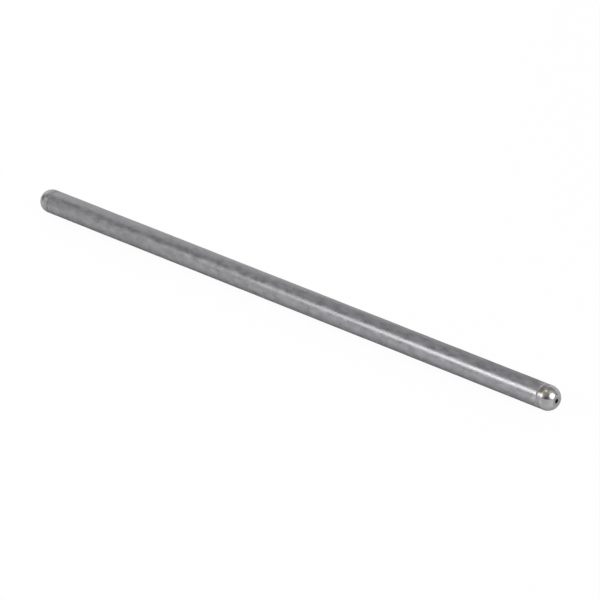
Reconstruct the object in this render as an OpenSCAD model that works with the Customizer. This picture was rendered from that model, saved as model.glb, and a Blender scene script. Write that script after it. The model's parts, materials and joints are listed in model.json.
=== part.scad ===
// Engine pushrod: a straight steel tube with a drilled ball tip welded into each end.
// All sizes are in millimetres. The rod lies along X, with the origin at the middle of its axis.

/* [Tube] */
// Outside diameter of the tube
tube_od = 7.94; // [6:0.01:12]
// Wall thickness of the tube
tube_wall = 1.65; // [0.9:0.01:2.3]
// Length of the tube, from one tip's shoulder to the other's
tube_len = 214.5; // [100:0.1:300]

/* [Ball tips] */
// Diameter of the ball on each tip
ball_d = 7.94; // [7:0.01:12]
// Length of the straight collar between the ball and the tube
collar_len = 1.45; // [0.8:0.05:6]
// Diameter of the flat on the end of each ball
flat_d = 3.9; // [2.6:0.1:5]
// Length of the spigot that is pressed into the tube
spigot_len = 8; // [3:0.5:20]
// Radial clearance of the spigot in the tube, where 0 is line to line
spigot_fit = 0; // [0:0.005:0.02]

/* [Oil passage] */
// Diameter of the oil hole through each tip
oil_hole_d = 1.3; // [1:0.05:1.8]
// Bevel round the mouth of the oil hole, on the flat
oil_mouth_edge = 0.05; // [0.05:0.05:0.35]

/* [Edges] */
// Depth of the taper dressed on the outer edge of each end of the tube
tube_edge = 0.15; // [0.1:0.05:0.6]
// Length of that taper along the tube
tube_edge_len = 0.4; // [0.1:0.05:1.5]
// Bevel in the mouth of the tube's bore
bore_edge = 0.2; // [0.05:0.05:0.4]
// Bevel on the shoulder of each tip's collar
collar_edge = 0.06; // [0.04:0.02:0.4]
// Lead bevel on the nose of each spigot
spigot_lead = 0.4; // [0.1:0.1:0.6]

/* [Hidden] */
tube_r = tube_od / 2;
bore_r = tube_r - tube_wall;
tube_end = tube_len / 2;
ball_r = ball_d / 2;
spigot_r = bore_r - spigot_fit;
oil_hole_r = oil_hole_d / 2;
// Distance from the ball's centre to its flat
flat_height = sqrt(pow(ball_r, 2) - pow(flat_d / 2, 2));
// Lowest point of the spigot, measured from the ball's centre
spigot_nose = -collar_len - spigot_len;
// Overshoot of a cut past the face that it opens
cut_past = 1;
$fn = 128;

// Turns a shape that was revolved about Z onto the rod's own axis, X.
module lay_along_x() {
    rotate([0, 90, 0])
        children();
}

// Half section of the tube's wall: the radius runs along X and the length along Y.
module tube_section() {
    polygon([
        [bore_r, bore_edge - tube_end],
        [bore_r + bore_edge, -tube_end],
        [tube_r - tube_edge, -tube_end],
        [tube_r, tube_edge_len - tube_end],
        [tube_r, tube_end - tube_edge_len],
        [tube_r - tube_edge, tube_end],
        [bore_r + bore_edge, tube_end],
        [bore_r, tube_end - bore_edge]
    ]);
}

// Half section of the blank that a tip is turned from: spigot, shoulder and full-width head.
module blank_section() {
    polygon([
        [0, spigot_nose],
        [spigot_r - spigot_lead, spigot_nose],
        [spigot_r, spigot_nose + spigot_lead],
        [spigot_r, -collar_len],
        [ball_r - collar_edge, -collar_len],
        [ball_r, collar_edge - collar_len],
        [ball_r, flat_height],
        [0, flat_height]
    ]);
}

// Half section of what is turned away to leave the ball above the collar.
module ball_relief_section() {
    difference() {
        square([ball_r + cut_past, flat_height + cut_past]);
        circle(r = ball_r);
    }
}

// Half section of the oil hole, with its bevelled mouth in the flat.
module oil_hole_section() {
    polygon([
        [0, spigot_nose - cut_past],
        [oil_hole_r, spigot_nose - cut_past],
        [oil_hole_r, flat_height - oil_mouth_edge],
        [oil_hole_r + oil_mouth_edge + cut_past, flat_height + cut_past],
        [0, flat_height + cut_past]
    ]);
}

// One ball tip at the +X end of the tube, its shoulder against the tube's end face.
module ball_tip() {
    translate([tube_end + collar_len, 0, 0])
        lay_along_x()
            rotate_extrude()
                difference() {
                    blank_section();
                    ball_relief_section();
                    oil_hole_section();
                }
}

module tube() {
    color([0.57, 0.57, 0.58])
        lay_along_x()
            rotate_extrude()
                tube_section();
}

module rocker_end_ball_tip() {
    color([0.64, 0.64, 0.65])
        ball_tip();
}

module lifter_end_ball_tip() {
    color([0.64, 0.64, 0.65])
        mirror([1, 0, 0])
            ball_tip();
}

tube();
rocker_end_ball_tip();
lifter_end_ball_tip();
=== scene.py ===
# %% [markdown]
# An engine pushrod is a straight steel tube with a hard, polished ball tip welded into each end. It
# stands between the valve lifter and the rocker arm, passes the push up to the valve, and carries
# oil up through its middle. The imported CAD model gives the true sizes, so the lesson starts by
# loading it as a fixed frame and measuring its box. Blender works in metres, so a millimetre gets a
# name of its own.

# %% Load the frame
import json
import math

import bmesh
import bpy
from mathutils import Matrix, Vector


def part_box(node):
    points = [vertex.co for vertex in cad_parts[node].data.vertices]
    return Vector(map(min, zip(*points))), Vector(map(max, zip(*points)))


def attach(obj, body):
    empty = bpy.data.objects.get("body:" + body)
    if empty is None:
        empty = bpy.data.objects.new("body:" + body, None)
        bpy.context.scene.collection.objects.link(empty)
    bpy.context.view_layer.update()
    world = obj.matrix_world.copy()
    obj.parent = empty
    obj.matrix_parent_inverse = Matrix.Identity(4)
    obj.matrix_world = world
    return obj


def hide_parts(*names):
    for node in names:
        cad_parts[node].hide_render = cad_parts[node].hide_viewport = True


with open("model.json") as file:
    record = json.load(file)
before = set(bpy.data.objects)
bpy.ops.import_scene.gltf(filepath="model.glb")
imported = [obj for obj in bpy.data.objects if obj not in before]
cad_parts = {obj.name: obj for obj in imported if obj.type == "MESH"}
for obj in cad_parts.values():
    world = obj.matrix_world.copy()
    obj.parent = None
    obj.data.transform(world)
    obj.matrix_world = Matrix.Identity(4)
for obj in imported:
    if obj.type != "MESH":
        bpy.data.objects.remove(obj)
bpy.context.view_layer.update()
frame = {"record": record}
bpy.context.scene.view_settings.view_transform = "Standard"

MM = 0.001


# %% [markdown]
# Every size that the frame knows is read from it: the tube's radius and end from the tube's box,
# the ball's centre and the oil hole from the mounts. The taper, the small bevels and the bore don't
# show up in a box, so they are named here once. A pushrod is a turned part, and a place along the
# rod and a radius are all that a turned part needs.

# %% Name the sizes
mounts = {mount["name"]: mount for mount in frame["record"]["mounts"]}
tube_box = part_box("tube")
tip_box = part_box("rocker_end_ball_tip")

tube_radius = tube_box[1].z
tube_end = tube_box[1].x
bore_radius = 2.32 * MM
taper_length = 0.4 * MM
taper_depth = 0.15 * MM
bore_bevel = 0.2 * MM

ball_radius = mounts["rocker_end_ball"]["dims"]["r_mm"] * MM
ball_centre = mounts["rocker_end_ball"]["pos_m"][0]
flat_place = tip_box[1].x
flat_radius = math.sqrt(ball_radius**2 - (flat_place - ball_centre) ** 2)
spigot_nose = tip_box[0].x
spigot_lead = 0.4 * MM
collar_bevel = 0.06 * MM
oil_hole_radius = mounts["rocker_end_oil_hole"]["dims"]["r_mm"] * MM
oil_mouth_bevel = 0.05 * MM
print("tube", round(2 * tube_end / MM, 2), "mm long; flat", round(2 * flat_radius / MM, 2), "mm across")

# %% [markdown]
# The camera comes early, because every later choice is judged through it. It looks down at the rod
# from the front right with a long lens, so the far end is only a tenth narrower than the near end.
# The lens is worked out for a square picture on a sensor 36 mm wide.

# %% Set up the camera
CAMERA_AZIMUTH, CAMERA_ELEVATION = 43.72, 24.48
CAMERA_DISTANCE = 1.334
CAMERA_TARGET = Vector((0.00557, -0.000085, -0.00016))
SENSOR_WIDTH = 36
LENS_LENGTH = 253.2


def towards(azimuth, elevation):
    """The direction at an azimuth, from the front round to the right, and an elevation, in degrees."""
    a, e = math.radians(azimuth), math.radians(elevation)
    return Vector((math.sin(a) * math.cos(e), -math.cos(a) * math.cos(e), math.sin(e)))


camera_side = towards(CAMERA_AZIMUTH, CAMERA_ELEVATION)
bpy.ops.object.camera_add(location=CAMERA_TARGET + CAMERA_DISTANCE * camera_side)
camera = bpy.context.object
camera.name = "camera"
camera.rotation_euler = camera_side.to_track_quat("Z", "Y").to_euler()
camera.data.sensor_width = SENSOR_WIDTH
camera.data.lens = LENS_LENGTH
bpy.context.scene.camera = camera
print("camera", [round(c, 3) for c in camera.location], "lens", camera.data.lens, "mm")

# %% [markdown]
# A turned part can be made from a cylinder with many cuts, or drawn as a half section and spun
# about its axis, as a lathe does. Spinning keeps every diameter true and gives clean rings of
# faces, so both kinds of piece are made that way. A section starts as a plane merged to one vertex,
# and that vertex is extruded from corner to corner.

# %% Draw and spin a half section
SPIN_STEPS = 192
CORNER_ROUND = 0.05 * MM
CORNER_SEGMENTS = 3
SMOOTH_ANGLE = math.radians(40)
SAME_PLACE = 0.002 * MM


def start_section(name, corner):
    """Start a half section in the XZ plane at a corner (place along the rod, radius)."""
    if bpy.context.mode != "OBJECT":
        bpy.ops.object.mode_set(mode="OBJECT")
    bpy.ops.object.select_all(action="DESELECT")
    bpy.ops.mesh.primitive_plane_add(size=MM, location=(corner[0], 0, corner[1]))
    piece = bpy.context.object
    piece.name = name
    bpy.ops.object.transform_apply(location=True, rotation=True, scale=True)
    bpy.ops.object.mode_set(mode="EDIT")
    bpy.ops.mesh.select_all(action="SELECT")
    bpy.ops.mesh.merge(type="CENTER")
    return piece


def draw_lines(corners):
    """Extrude the selected vertex, at the first corner, through the others in turn."""
    for here, there in zip(corners, corners[1:]):
        step = (there[0] - here[0], 0, there[1] - here[1])
        bpy.ops.mesh.extrude_vertices_move(TRANSFORM_OT_translate={"value": step})


def select_section(piece, wanted, kind="verts"):
    """Select the vertices, or the edges with both ends, whose (place, radius) is wanted, and count them."""
    bpy.ops.mesh.select_all(action="DESELECT")
    section = bmesh.from_edit_mesh(piece.data)
    count = 0
    for element in getattr(section, kind):
        ends = [element] if kind == "verts" else element.verts
        if all(wanted(end.co.x, end.co.z) for end in ends):
            element.select_set(True)
            count += 1
    bmesh.update_edit_mesh(piece.data)
    return count


def fill_section():
    """Join the last line to the first and fill the outline, so that its corners can be bevelled."""
    bpy.ops.mesh.select_all(action="SELECT")
    bpy.ops.mesh.remove_doubles(threshold=SAME_PLACE)
    bpy.ops.mesh.edge_face_add()


def round_corners(piece, corners):
    """Round the named corners of a filled section a little, because no turned edge is razor sharp."""
    def at_a_corner(place, radius):
        return any(math.hypot(place - c[0], radius - c[1]) < SAME_PLACE for c in corners)

    count = select_section(piece, at_a_corner)
    bpy.ops.mesh.bevel(offset=CORNER_ROUND, segments=CORNER_SEGMENTS, affect="VERTICES")
    print(piece.name, "has", count, "rounded corners")


def spin_section(piece):
    """Spin the outline right round the rod's axis, close the seam and point the faces outwards."""
    bpy.ops.mesh.select_all(action="SELECT")
    bpy.ops.mesh.delete(type="ONLY_FACE")
    bpy.ops.mesh.select_all(action="SELECT")
    bpy.ops.mesh.spin(steps=SPIN_STEPS, angle=2 * math.pi, center=(0, 0, 0), axis=(1, 0, 0))
    bpy.ops.mesh.select_all(action="SELECT")
    bpy.ops.mesh.remove_doubles(threshold=SAME_PLACE)
    bpy.ops.mesh.normals_make_consistent(inside=False)
    bpy.ops.object.mode_set(mode="OBJECT")
    bpy.ops.object.shade_smooth_by_angle(angle=SMOOTH_ANGLE)
    print(piece.name, "spun to", len(piece.data.polygons), "faces")


# %% [markdown]
# The tube is drawn steel, with a short taper dressed on both ends. Its long outer line is halved, and
# each half is cut into a hundred stretches before the spin, because the next step needs rings of
# vertices to move. The bore is one long stretch: nobody sees it, but it makes the wall real.

# %% Make the tube
OUTSIDE_CUTS = (1, 99)
tube_corners = [
    (-tube_end + bore_bevel, bore_radius),
    (-tube_end, bore_radius + bore_bevel),
    (-tube_end, tube_radius - taper_depth),
    (-tube_end + taper_length, tube_radius),
    (tube_end - taper_length, tube_radius),
    (tube_end, tube_radius - taper_depth),
    (tube_end, bore_radius + bore_bevel),
    (tube_end - bore_bevel, bore_radius),
]
taper_corners = tube_corners[2:6]
tube = start_section("satin_tube", tube_corners[0])
draw_lines(tube_corners + tube_corners[:1])
fill_section()
round_corners(tube, taper_corners)


def on_the_outside(place, radius):
    """Whether a point of the section is on the tube's outer line."""
    return abs(radius - tube_radius) < SAME_PLACE


for cuts in OUTSIDE_CUTS:
    select_section(tube, on_the_outside, "edges")
    bpy.ops.mesh.subdivide(number_cuts=cuts)
spin_section(tube)

# %% [markdown]
# A drawn and ground tube is never perfectly straight-sided: the long highlight on a real one
# wanders a little. A Displace modifier moves the outside by a few hundredths of a millimetre along
# its normals, and the ends keep their true size so that the seams stay flush. The modifier is
# applied, so the waves are part of the mesh.

# %% Give the tube its slight waves
WAVE_LENGTH = 9 * MM
WAVE_HEIGHT = 0.08 * MM
WAVE_DETAIL = 1
STEADY_END = 4 * MM

waves = bpy.data.textures.new("drawn_waves", type="CLOUDS")
waves.noise_scale = WAVE_LENGTH
waves.noise_depth = WAVE_DETAIL
wall = tube.vertex_groups.new(name="outer_wall")
wall.add(
    [
        v.index for v in tube.data.vertices
        if math.hypot(v.co.y, v.co.z) > tube_radius - SAME_PLACE and abs(v.co.x) < tube_end - STEADY_END
    ],
    1.0,
    "REPLACE",
)
bpy.ops.object.modifier_add(type="DISPLACE")
displace = tube.modifiers[-1]
displace.texture = waves
displace.texture_coords = "LOCAL"
displace.vertex_group = wall.name
displace.strength = WAVE_HEIGHT
bpy.ops.object.modifier_apply(modifier=displace.name)
print(tube.name, "waves:", round(WAVE_HEIGHT / MM, 3), "mm high,", round(WAVE_LENGTH / MM, 1), "mm long")

# %% [markdown]
# Each ball tip is turned from bar: a spigot that is pressed into the tube, a shoulder, a short
# straight collar, the ball with a small flat on its end, and an oil hole through the middle. The
# ball's arc is drawn by spinning the last vertex about the ball's centre, so it leaves the collar
# without a step. The far tip is the same piece mirrored.

# %% Make the two ball tips
ARC_STEPS = 48
tip_corners = [
    (spigot_nose, oil_hole_radius),
    (spigot_nose, bore_radius - spigot_lead),
    (spigot_nose + spigot_lead, bore_radius),
    (tube_end, bore_radius),
    (tube_end, ball_radius - collar_bevel),
    (tube_end + collar_bevel, ball_radius),
    (ball_centre, ball_radius),
]
end_corners = [
    (flat_place, flat_radius),
    (flat_place, oil_hole_radius + oil_mouth_bevel),
    (flat_place - oil_mouth_bevel, oil_hole_radius),
    (spigot_nose, oil_hole_radius),
]
shoulder_corners = tip_corners[4:6]
flat_corners = end_corners[:3]
rocker_tip = start_section("rocker_end_tip", tip_corners[0])
draw_lines(tip_corners)
bpy.ops.mesh.spin(
    steps=ARC_STEPS,
    angle=math.acos(flat_radius / ball_radius),
    center=(ball_centre, 0, 0),
    axis=(0, -1, 0),
)
draw_lines(end_corners)
fill_section()
round_corners(rocker_tip, shoulder_corners + flat_corners)
spin_section(rocker_tip)

bpy.ops.object.duplicate()
lifter_tip = bpy.context.object
lifter_tip.name = "lifter_end_tip"
bpy.ops.transform.mirror(constraint_axis=(True, False, False), center_override=(0, 0, 0))
bpy.ops.object.transform_apply(location=True, rotation=True, scale=True)
bpy.ops.object.mode_set(mode="EDIT")
bpy.ops.mesh.select_all(action="SELECT")
bpy.ops.mesh.normals_make_consistent(inside=False)
bpy.ops.object.mode_set(mode="OBJECT")
for tip in (rocker_tip, lifter_tip):
    places = [v.co.x / MM for v in tip.data.vertices]
    print(tip.name, "from", round(min(places), 2), "to", round(max(places), 2), "mm")

# %% [markdown]
# The three meshes stand for the three CAD nodes. A weighted-normal modifier keeps the flats flat
# where a rounded corner meets them, which matters on bright metal.

# %% Seat the pieces on the frame
pieces = {
    "tube": (tube, "tube_steel"),
    "rocker_end_ball_tip": (rocker_tip, "tip_steel"),
    "lifter_end_ball_tip": (lifter_tip, "tip_steel"),
}
for node_name, (piece, slot_name) in pieces.items():
    bpy.ops.object.select_all(action="DESELECT")
    piece.select_set(True)
    bpy.context.view_layer.objects.active = piece
    bpy.ops.object.modifier_add(type="WEIGHTED_NORMAL")
    piece.modifiers[-1].keep_sharp = True
    bpy.ops.object.modifier_apply(modifier=piece.modifiers[-1].name)
    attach(piece, "root")
    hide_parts(node_name)
    print(piece.name, "stands for", node_name)

# %% [markdown]
# Both steels share two effects, and the first is the marks that grinding leaves. On a real rod they
# are fine lines and faint blotches, a millimetre or two across. They could be an image, but noise
# in Object coordinates has no seam and fits any length of rod. Each noise is stretched: its scale is
# how many features it has in a metre along x, y and z. The marks are a node group, built once, that
# puts out a height for bump and a soft blotch mask.

# %% Build the grinding marks group
LINES_ALONG = (120, 3500, 3500)
LINES_AROUND = (3800, 260, 260)
BLOTCHES, BLOTCH_DETAIL, BLOTCH_FINE = (330, 620, 620), 5.0, 0.58


def add_node(tree, kind, place, inputs=None, **options):
    """Add a node at a place in the editor, set its options, and set or link its inputs."""
    made = tree.nodes.new(kind)
    made.location = place
    for option, value in options.items():
        setattr(made, option, value)
    for socket, source in (inputs or {}).items():
        if isinstance(source, bpy.types.NodeSocket):
            tree.links.new(source, made.inputs[socket])
        else:
            made.inputs[socket].default_value = source
    return made


def stretched_noise(tree, place, vector, scale, detail=2.0, fine=0.5):
    """Noise that is stretched by its scale; fine is how much its small details count."""
    mapping = add_node(tree, "ShaderNodeMapping", place, {"Vector": vector, "Scale": scale})
    return add_node(
        tree, "ShaderNodeTexNoise", (place[0] + 200, place[1]),
        {"Vector": mapping.outputs["Vector"], "Scale": 1.0, "Detail": detail, "Roughness": fine},
    ).outputs["Fac"]


def new_group(name, inputs, outputs):
    """An empty shader node group with its sockets, given as name: kind, and its two end nodes."""
    group = bpy.data.node_groups.new(name, "ShaderNodeTree")
    for socket, kind in inputs.items():
        group.interface.new_socket(socket, in_out="INPUT", socket_type=kind)
    for socket, kind in outputs.items():
        group.interface.new_socket(socket, in_out="OUTPUT", socket_type=kind)
    start = add_node(group, "NodeGroupInput", (-900, 0)).outputs
    end = add_node(group, "NodeGroupOutput", (900, 0)).inputs
    return group, start, end


grinding, given, wanted = new_group(
    "grinding_marks",
    {"Vector": "NodeSocketVector"},
    {"Height": "NodeSocketFloat", "Blotch": "NodeSocketFloat"},
)
along = stretched_noise(grinding, (-600, 300), given["Vector"], LINES_ALONG)
around = stretched_noise(grinding, (-600, 0), given["Vector"], LINES_AROUND)
blotch = stretched_noise(grinding, (-600, -300), given["Vector"], BLOTCHES, BLOTCH_DETAIL, BLOTCH_FINE)
lines = add_node(grinding, "ShaderNodeMath", (-150, 200), {0: along, 1: around}, operation="ADD")
grinding.links.new(lines.outputs["Value"], wanted["Height"])
grinding.links.new(blotch, wanted["Blotch"])
print("group", grinding.name, "has", len(grinding.nodes), "nodes")

# %% [markdown]
# The second effect is the heat tint, and the same group also paints light. Where the weld was closed, on the
# upper side of the near seam, the steel got hot enough to grow a thin oxide film. It is purple on the top of
# the seam, and brown inside yellow and straw lower down on the tip. The painted light is three more spots: a
# lighter spot on the top of the near collar and one low on the tube by the near seam are painted
# reflections, and a small bright spot on the far collar is a painted glint. Each is a soft round spot with
# its centre on the rod's skin, and a little noise keeps the spots from being perfect rounds. The group puts
# out a tint for the steel's own colour to be multiplied by, and each material brings its own colours for the
# spots.

# %% Build the heat tint and painted light group
SPOT_RAGGED = 0.9 * MM
RAGGED_SCALE, RAGGED_DETAIL = (700, 700, 700), 3.0
NOISE_MIDDLE = 0.5


def grey(value):
    """A plain grey, or a plain change of brightness where it multiplies."""
    return (value, value, value, 1)


WHITE = grey(1)


def on_the_skin(place, around):
    """The point at a place along the rod, and round from the front by an angle in degrees."""
    angle = math.radians(around)
    return (place, -tube_radius * math.cos(angle), tube_radius * math.sin(angle))


TINT_AND_LIGHT_SPOTS = {
    # Painted reflection: the lighter spot low on the tube by the near seam.
    "Clean": {"centre": on_the_skin(tube_end - 0.75 * MM, 11), "full": 0.3 * MM, "gone": 1.4 * MM},
    "Straw": {"centre": on_the_skin(tube_end + 1.85 * MM, 64), "full": 0.8 * MM, "gone": 1.9 * MM},
    "Yellow": {"centre": on_the_skin(tube_end + 0.95 * MM, 50), "full": 0.4 * MM, "gone": 1.5 * MM},
    "Brown": {"centre": on_the_skin(tube_end + 0.7 * MM, 57), "full": 0.4 * MM, "gone": 1.4 * MM},
    "Purple": {"centre": on_the_skin(tube_end - 0.3 * MM, 86), "full": 0.8 * MM, "gone": 1.7 * MM},
    # Painted reflection: the lighter spot on the top of the near collar.
    "Wiped": {"centre": on_the_skin(tube_end + 1.1 * MM, 96), "full": 0.5 * MM, "gone": 1.4 * MM},
    # Painted glint: the small bright spot on the far collar.
    "Rubbed": {"centre": on_the_skin(0.55 * MM - ball_centre, 32), "full": 0.15 * MM, "gone": 0.65 * MM},
}


def smooth_step(tree, place, value, start, end, low=0.0, high=1.0):
    """Go smoothly from low, where the value is at start, to high, where it is at end."""
    return add_node(
        tree, "ShaderNodeMapRange", place,
        {"Value": value, "From Min": start, "From Max": end, "To Min": low, "To Max": high},
        interpolation_type="SMOOTHSTEP",
    ).outputs["Result"]


def mix_colours(tree, place, first, second, share=1.0, blend="MIX"):
    """Mix two colours; the numbers are the Mix node's colour sockets."""
    return add_node(
        tree, "ShaderNodeMix", place, {0: share, 6: first, 7: second}, data_type="RGBA", blend_type=blend
    ).outputs[2]


tint_and_light, given, wanted = new_group(
    "heat_tint",
    {"Vector": "NodeSocketVector", **{name: "NodeSocketColor" for name in TINT_AND_LIGHT_SPOTS}},
    {"Tint": "NodeSocketColor"},
)
ragged = stretched_noise(tint_and_light, (-650, -100), given["Vector"], RAGGED_SCALE, RAGGED_DETAIL)
centred = add_node(
    tint_and_light, "ShaderNodeMath", (-250, -100), {0: ragged, 1: NOISE_MIDDLE}, operation="SUBTRACT"
)
tint = WHITE
for step, (name, spot) in enumerate(TINT_AND_LIGHT_SPOTS.items()):
    column = 250 * step
    reach = add_node(
        tint_and_light, "ShaderNodeVectorMath", (column, 500),
        {0: given["Vector"], 1: spot["centre"]}, operation="DISTANCE",
    )
    distance = add_node(
        tint_and_light, "ShaderNodeMath", (column, 300),
        {0: centred.outputs[0], 1: SPOT_RAGGED, 2: reach.outputs["Value"]}, operation="MULTIPLY_ADD",
    )
    share = smooth_step(tint_and_light, (column, 100), distance.outputs[0], spot["full"], spot["gone"], 1.0, 0.0)
    tint = mix_colours(tint_and_light, (column + 100, -200), tint, given[name], share)
tint_and_light.links.new(tint, wanted["Tint"])
print("group", tint_and_light.name, "has", len(tint_and_light.nodes), "nodes")

# %% [markdown]
# The tube's steel is plain and satin: a mid grey metal, a touch cool, rough enough to blur a lamp
# into a soft stripe. Its blotches change the tone and the roughness together, as worn and less worn
# patches do. The tint near the weld is only a breath of mauve, because the tube was cleaned after
# welding, but its purple lightens the top of the near end, which is a painted highlight, and a lighter spot
# low down by the near seam is a painted reflection. The taper at each end was dressed last, so it is bare,
# and its lighter tone is partly bare steel and partly a painted highlight, the light line that the taper
# catches. A tint at grazing angles keeps the edges from glowing, as iron does.

# %% Finish the tube's steel
GRAZING_TINT = grey(0.68)
NOISE_LOW, NOISE_HIGH = 0.3, 0.7


def new_material(name):
    """A material with its tree and its Principled shader."""
    material = bpy.data.materials.new(name)
    material.use_nodes = True
    tree = material.node_tree
    return material, tree, tree.nodes["Principled BSDF"]


def new_steel(name, tints):
    """A metal, and what its look is made from: a point's place, the grinding marks, and the heat tint and
    painted light.
    """
    material, tree, steel = new_material(name)
    steel.inputs["Metallic"].default_value = 1.0
    steel.inputs["Specular Tint"].default_value = GRAZING_TINT
    place = add_node(tree, "ShaderNodeTexCoord", (-1400, 0)).outputs["Object"]
    marks = add_node(tree, "ShaderNodeGroup", (-1200, 0), {"Vector": place}, node_tree=grinding).outputs
    tint = add_node(
        tree, "ShaderNodeGroup", (-1200, 400), {"Vector": place, **tints}, node_tree=tint_and_light
    ).outputs["Tint"]
    return material, tree, steel, place, marks, tint


def noise_range(tree, place, noise, low, high):
    """Stretch the middle of a noise, where most of it lies, to run from low to high."""
    return add_node(
        tree, "ShaderNodeMapRange", place,
        {"Value": noise, "From Min": NOISE_LOW, "From Max": NOISE_HIGH, "To Min": low, "To Max": high},
    ).outputs["Result"]


def blend_values(tree, place, low, high, share):
    """Go evenly from low, where the share is 0, to high, where it is 1."""
    return add_node(
        tree, "ShaderNodeMapRange", place, {"Value": share, "To Min": low, "To Max": high}
    ).outputs["Result"]


def steel_tone(tree, place, noise, dark, light):
    """A grey that wanders between a dark and a light tone of the same steel."""
    share = noise_range(tree, place, noise, 0, 1)
    return mix_colours(tree, (place[0] + 200, place[1]), (*dark, 1), (*light, 1), share)


def distance_along(tree, place, vector):
    """How far along the rod a point is from the middle, towards either end."""
    parts = add_node(tree, "ShaderNodeSeparateXYZ", place, {"Vector": vector}).outputs
    return add_node(
        tree, "ShaderNodeMath", (place[0] + 200, place[1]), {0: parts["X"]}, operation="ABSOLUTE"
    ).outputs[0]


# The tube's purple is above 1: besides its mauve, it lightens the top of the near end as a painted
# highlight.
TUBE_TINTS = {
    # The 1.35 lightening low on the tube by the near seam is a painted reflection.
    "Clean": grey(1.35), "Straw": (0.97, 0.94, 0.97, 1), "Yellow": (0.93, 0.90, 0.93, 1),
    "Brown": (0.90, 0.85, 0.90, 1), "Purple": (1.4, 1.28, 1.42, 1), "Wiped": WHITE, "Rubbed": WHITE,
}
TUBE_DARK, TUBE_LIGHT = (0.26, 0.259, 0.271), (0.39, 0.389, 0.405)
TUBE_SMOOTH, TUBE_ROUGH = 0.25, 0.42
BARE_STEEL_AND_PAINTED_LIGHT, BARE_ROUGHNESS = (0.40, 0.40, 0.41, 1), 0.5
BARE_FULL = tube_end - taper_length
BARE_START = BARE_FULL - 0.06 * MM
MARK_HEIGHT = 0.008 * MM

tube_steel, tree, steel, place, marks, tint = new_steel("satin_tube_steel", TUBE_TINTS)
tone = steel_tone(tree, (-900, 200), marks["Blotch"], TUBE_DARK, TUBE_LIGHT)
along = distance_along(tree, (-1200, -300), place)
bare_with_painted_light = smooth_step(tree, (-800, -300), along, BARE_START, BARE_FULL)
# Painted highlight in part: the bare taper's lighter tone also stands for the light line that the taper
# catches.
tone = mix_colours(tree, (-400, 300), tone, BARE_STEEL_AND_PAINTED_LIGHT, bare_with_painted_light)
tree.links.new(mix_colours(tree, (-200, 300), tone, tint, blend="MULTIPLY"), steel.inputs["Base Color"])
satin = noise_range(tree, (-500, -100), marks["Blotch"], TUBE_SMOOTH, TUBE_ROUGH)
roughness = blend_values(tree, (-200, -100), satin, BARE_ROUGHNESS, bare_with_painted_light)
tree.links.new(roughness, steel.inputs["Roughness"])
bump = add_node(
    tree, "ShaderNodeBump", (-300, -400),
    {"Height": marks["Height"], "Strength": 1.0, "Distance": MARK_HEIGHT},
)
tree.links.new(bump.outputs["Normal"], steel.inputs["Normal"])
tube.data.materials.append(tube_steel)
print(tube_steel.name, "on", tube.name)

# %% [markdown]
# The tips are hardened, and the ball is polished like a bearing, so it mirrors the room. The collar
# was only turned, so it is satin, and the polish starts just past the ball's centre. The lighter band
# painted where the polish starts is a painted highlight. The flat is as the cutter left it, dull and
# darker round the hole; its lighter rim is a painted highlight, and the dark colour in the oil hole is
# painted shade. Masks along the rod and across it pick the finish, so one material serves both tips.

# %% Finish the tips' steel
TIP_TINTS = {
    "Clean": WHITE, "Straw": (0.88, 0.845, 0.68, 1), "Yellow": (1, 0.985, 0.66, 1),
    # The lighter tint on the top of the near collar is a painted reflection.
    "Brown": (0.755, 0.66, 0.53, 1), "Purple": (1.14, 0.98, 1.22, 1), "Wiped": (1.3, 1.3, 1.28, 1),
    # The bright tint on the far collar is a painted glint.
    "Rubbed": grey(1.75),
}
COLLAR_DARK, COLLAR_LIGHT = (0.30, 0.298, 0.306), (0.375, 0.372, 0.381)
BALL_DARK, BALL_LIGHT = (0.379, 0.376, 0.384), (0.459, 0.456, 0.465)
# Painted highlight: the lighter band just past the ball's centre.
PAINTED_RING_LIGHT = (0.46, 0.457, 0.466, 1)
# Painted shade: the dark colour in the oil hole and at its mouth.
PAINTED_HOLE_SHADE = (0.17, 0.165, 0.16, 1)
FLAT_TINT = grey(0.78)
SATIN, POLISHED, CUT = 0.32, 0.225, 0.42
RING_START, RING_FULL = ball_centre - 0.1 * MM, ball_centre + 0.15 * MM
POLISH_START, POLISH_FULL = ball_centre + 0.35 * MM, ball_centre + 0.75 * MM
DULL_FULL = 1.0 * MM
HOLE_FULL, HOLE_GONE = oil_hole_radius + 0.02 * MM, oil_hole_radius + 0.12 * MM
ACROSS_THE_ROD = (0, 1, 1)

tip_steel, tree, steel, place, marks, tint = new_steel("polished_tip_steel", TIP_TINTS)
along = distance_along(tree, (-1200, -300), place)
ring = smooth_step(tree, (-900, 1000), along, RING_START, RING_FULL)
polish = smooth_step(tree, (-700, 1000), along, POLISH_START, POLISH_FULL)
across = add_node(
    tree, "ShaderNodeVectorMath", (-1200, -600), {0: place, 1: ACROSS_THE_ROD}, operation="MULTIPLY"
).outputs["Vector"]
radius = add_node(
    tree, "ShaderNodeVectorMath", (-1000, -600), {0: across}, operation="LENGTH"
).outputs["Value"]
# Dull and darker round the hole as the cutter left it, lighter towards the rim: the lighter rim is a painted
# highlight.
dull_with_painted_rim = smooth_step(tree, (-800, -500), radius, DULL_FULL, flat_radius, 1.0, 0.0)
hole = smooth_step(tree, (-800, -800), radius, HOLE_FULL, HOLE_GONE, 1.0, 0.0)

collar_tone = steel_tone(tree, (-900, 700), marks["Blotch"], COLLAR_DARK, COLLAR_LIGHT)
ball_tone = steel_tone(tree, (-900, 200), marks["Blotch"], BALL_DARK, BALL_LIGHT)
# The lighter band where the polish starts is a painted highlight.
ringed = mix_colours(tree, (-650, 600), collar_tone, PAINTED_RING_LIGHT, ring)
tone = mix_colours(tree, (-500, 400), ringed, ball_tone, polish)
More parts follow.
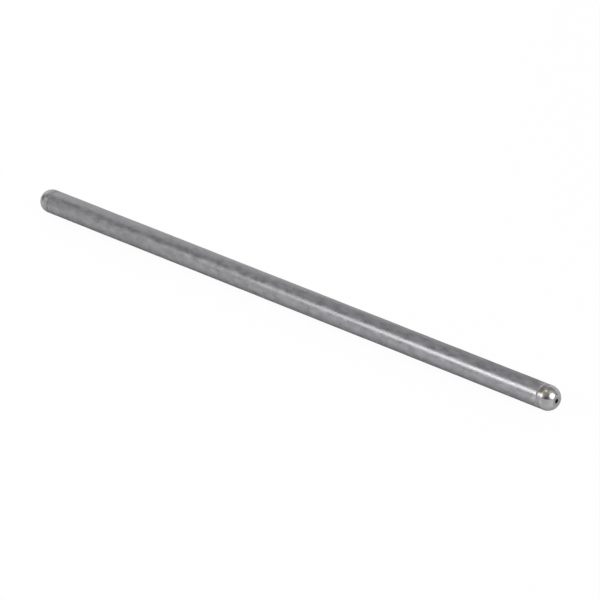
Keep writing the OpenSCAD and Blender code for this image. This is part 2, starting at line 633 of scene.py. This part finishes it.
# The flat's tint fades out towards the rim, and the lighter rim is a painted highlight.
faced = mix_colours(tree, (-350, 500), tone, FLAT_TINT, dull_with_painted_rim, blend="MULTIPLY")
tinted = mix_colours(tree, (-350, 300), faced, tint, blend="MULTIPLY")
# The dark colour in the oil hole and at its mouth is painted shade.
tree.links.new(mix_colours(tree, (-200, 300), tinted, PAINTED_HOLE_SHADE, hole), steel.inputs["Base Color"])
turned = smooth_step(tree, (-500, -200), polish, 0, 1, SATIN, POLISHED)
roughness = blend_values(tree, (-300, -300), turned, CUT, dull_with_painted_rim)
tree.links.new(roughness, steel.inputs["Roughness"])
for tip in (rocker_tip, lifter_tip):
    tip.data.materials.append(tip_steel)
print(tip_steel.name, "on both tips")

# %% [markdown]
# The floor is a plain white sheet with a slight sheen, and the rod lies on it. For the camera, most
# of its white comes from a glow of strength 1, and the rest is lit paper, so that the rod's soft
# shadow stays. In the metal's mirror the glow is weaker, because there the dark under the rod is
# what gives the lower edge its depth.

# %% Lay the floor
FLOOR_SIZE = 6.0
PAPER, PAPER_ROUGHNESS = grey(0.94), 0.36
GLOW_SEEN = 0.96
GLOW_MIRRORED = 0.12

bpy.ops.object.select_all(action="DESELECT")
bpy.ops.mesh.primitive_plane_add(size=FLOOR_SIZE, location=(0, 0, -tube_radius))
floor = bpy.context.object
floor.name = "floor"
paper, tree, sheet = new_material("white_paper")
sheet.inputs["Base Color"].default_value = PAPER
sheet.inputs["Roughness"].default_value = PAPER_ROUGHNESS
glow = add_node(tree, "ShaderNodeEmission", (0, -400), {"Color": WHITE, "Strength": 1.0})
ray = add_node(tree, "ShaderNodeLightPath", (-600, 500)).outputs
mirrored = add_node(
    tree, "ShaderNodeMath", (-400, 500),
    {0: ray["Is Glossy Ray"], 1: ray["Is Transmission Ray"]}, operation="MAXIMUM",
)
seen_share = add_node(
    tree, "ShaderNodeMath", (-200, 700), {0: ray["Is Camera Ray"], 1: GLOW_SEEN}, operation="MULTIPLY"
)
mirrored_share = add_node(
    tree, "ShaderNodeMath", (-200, 400), {0: mirrored.outputs[0], 1: GLOW_MIRRORED}, operation="MULTIPLY"
)
share = add_node(
    tree, "ShaderNodeMath", (0, 500),
    {0: seen_share.outputs[0], 1: mirrored_share.outputs[0]}, operation="MAXIMUM",
)
mixed = add_node(
    tree, "ShaderNodeMixShader", (250, 200),
    {"Fac": share.outputs[0], 1: sheet.outputs["BSDF"], 2: glow.outputs["Emission"]},
)
tree.links.new(mixed.outputs["Shader"], tree.nodes["Material Output"].inputs["Surface"])
floor.data.materials.append(paper)
print("floor at", round(floor.location.z / MM, 2), "mm")

# %% [markdown]
# The light is a small studio. Polished steel shows little but its surroundings, so the room matters
# as much as the lamps: it is pale grey, with dark patches where nothing is lit, and the darkest are
# beside the camera and behind it. Each patch is a cone about one direction, and the angles are
# where its dark is full and where it is gone. The camera itself sees plain white above the floor.

# %% Paint the room
ROOM_GREY = 0.53
DARK_PATCHES = {
    "left of the camera": {"side": towards(12, 18), "full": 8, "gone": 21, "left": 0.22},
    "behind the camera": {"side": towards(36, 20), "full": 8, "gone": 22, "left": 0.30},
    "above the camera": {"side": towards(33, 47), "full": 6, "gone": 20, "left": 0.60},
    "far left": {"side": towards(-70, 14), "full": 8, "gone": 20, "left": 0.45},
    "high at the left": {"side": towards(-62, 43), "full": 6, "gone": 18, "left": 0.90},
    "high at the back": {"side": towards(180, 60), "full": 8, "gone": 28, "left": 0.80},
    "back right": {"side": towards(147, 20), "full": 5, "gone": 20, "left": 0.70},
}

room = bpy.data.worlds.new("grey_room")
bpy.context.scene.world = room
room.use_nodes = True
tree = room.node_tree
direction = add_node(tree, "ShaderNodeTexCoord", (-1200, 0)).outputs["Generated"]
brightness = ROOM_GREY
for step, (name, patch) in enumerate(DARK_PATCHES.items()):
    column = -1000 + 250 * step
    facing = add_node(
        tree, "ShaderNodeVectorMath", (column, 200),
        {0: direction, 1: patch["side"]}, operation="DOT_PRODUCT",
    ).outputs["Value"]
    gone, full = math.cos(math.radians(patch["gone"])), math.cos(math.radians(patch["full"]))
    shade = smooth_step(tree, (column, -50), facing, gone, full, 1.0, patch["left"])
    brightness = add_node(
        tree, "ShaderNodeMath", (column, -300), {0: brightness, 1: shade}, operation="MULTIPLY"
    ).outputs[0]
    print("dark patch", name, "keeps", patch["left"], "of the room's grey")
colour = add_node(
    tree, "ShaderNodeCombineColor", (800, 0), {channel: brightness for channel in ("Red", "Green", "Blue")}
).outputs["Color"]
seen = add_node(tree, "ShaderNodeLightPath", (800, 400)).outputs["Is Camera Ray"]
shown = mix_colours(tree, (1000, 200), colour, WHITE, seen)
tree.links.new(shown, tree.nodes["Background"].inputs["Color"])

# %% [markdown]
# Two soft boxes do most of the work: one at the front left draws the long stripe on the tube, and
# one at the right end makes the round highlight on the near ball. A small lamp hangs high up. Faint
# cards lift the left, the back, the upper right and the low front, and a skirt does so below the
# first box. The first box and its skirt face a point past the rod's near end, which puts the stripe
# where it belongs. A lamp adds to the room behind it, so a card's brightness is only what it adds.

# %% Hang the lamps


def hang_lamp(name, place, facing, size, brightness, shape="RECTANGLE"):
    """An area lamp at a place, facing a point; brightness is how bright its face looks."""
    place = Vector(place)
    bpy.ops.object.light_add(type="AREA", location=place)
    lamp = bpy.context.object
    lamp.name = name
    lamp.rotation_euler = (place - Vector(facing)).to_track_quat("Z", "Y").to_euler()
    lamp.data.shape = shape
    lamp.data.size, lamp.data.size_y = size
    area = size[0] * size[1] * (math.pi / 4 if shape == "ELLIPSE" else 1)
    lamp.data.energy = brightness * math.pi * area
    lamp.visible_camera = False
    print(name, "at", [round(c, 2) for c in lamp.location], round(lamp.data.energy, 2), "W")


def seen_from(point, azimuth, elevation, distance):
    """Where a lamp hangs that faces a point, seen from the point on that side and at that distance."""
    return {"place": point + distance * towards(azimuth, elevation), "facing": point}


near_ball = Vector((ball_centre, 0, 0))
past_the_end = Vector((0.216, 0, 0))
LAMPS = {
    "front_left_box": {**seen_from(past_the_end, -45, 22.2, 0.53), "size": (0.206, 0.14), "brightness": 4.5},
    "right_box": {
        **seen_from(near_ball, 87.5, 32, 2.0), "size": (1.80, 1.62), "brightness": 3.3, "shape": "ELLIPSE",
    },
    "top_lamp": {
        **seen_from(near_ball, -42, 75, 0.6), "size": (0.19, 0.19), "brightness": 1.9, "shape": "ELLIPSE",
    },
    "left_card": {
        "place": (-0.30, 0.235, 0.14), "facing": (0, 0.235, 0.14), "size": (0.47, 0.28), "brightness": 0.54,
    },
    "left_wing": {
        "place": (-0.288, -0.305, 0.105), "facing": (-0.028, -0.02, 0.105),
        "size": (0.15, 0.21), "brightness": 0.27,
    },
    "back_card": {
        "place": (0.10, 0.60, 0.22), "facing": (0.10, 0, 0.22), "size": (0.70, 0.44), "brightness": 0.42,
    },
    "back_left_card": {**seen_from(near_ball, -157, 33, 0.6), "size": (0.22, 0.16), "brightness": 0.35},
    "upper_right_card": {
        **seen_from(near_ball, 105, 63, 0.8), "size": (0.55, 0.55), "brightness": 0.3, "shape": "ELLIPSE",
    },
    "front_left_skirt": {**seen_from(past_the_end, -45, 9, 0.53), "size": (0.206, 0.10), "brightness": 0.32},
    "low_front_card": {**seen_from(near_ball, 25, 3.5, 0.7), "size": (0.90, 0.085), "brightness": 0.7},
}
for name, settings in LAMPS.items():
    hang_lamp(name, **settings)
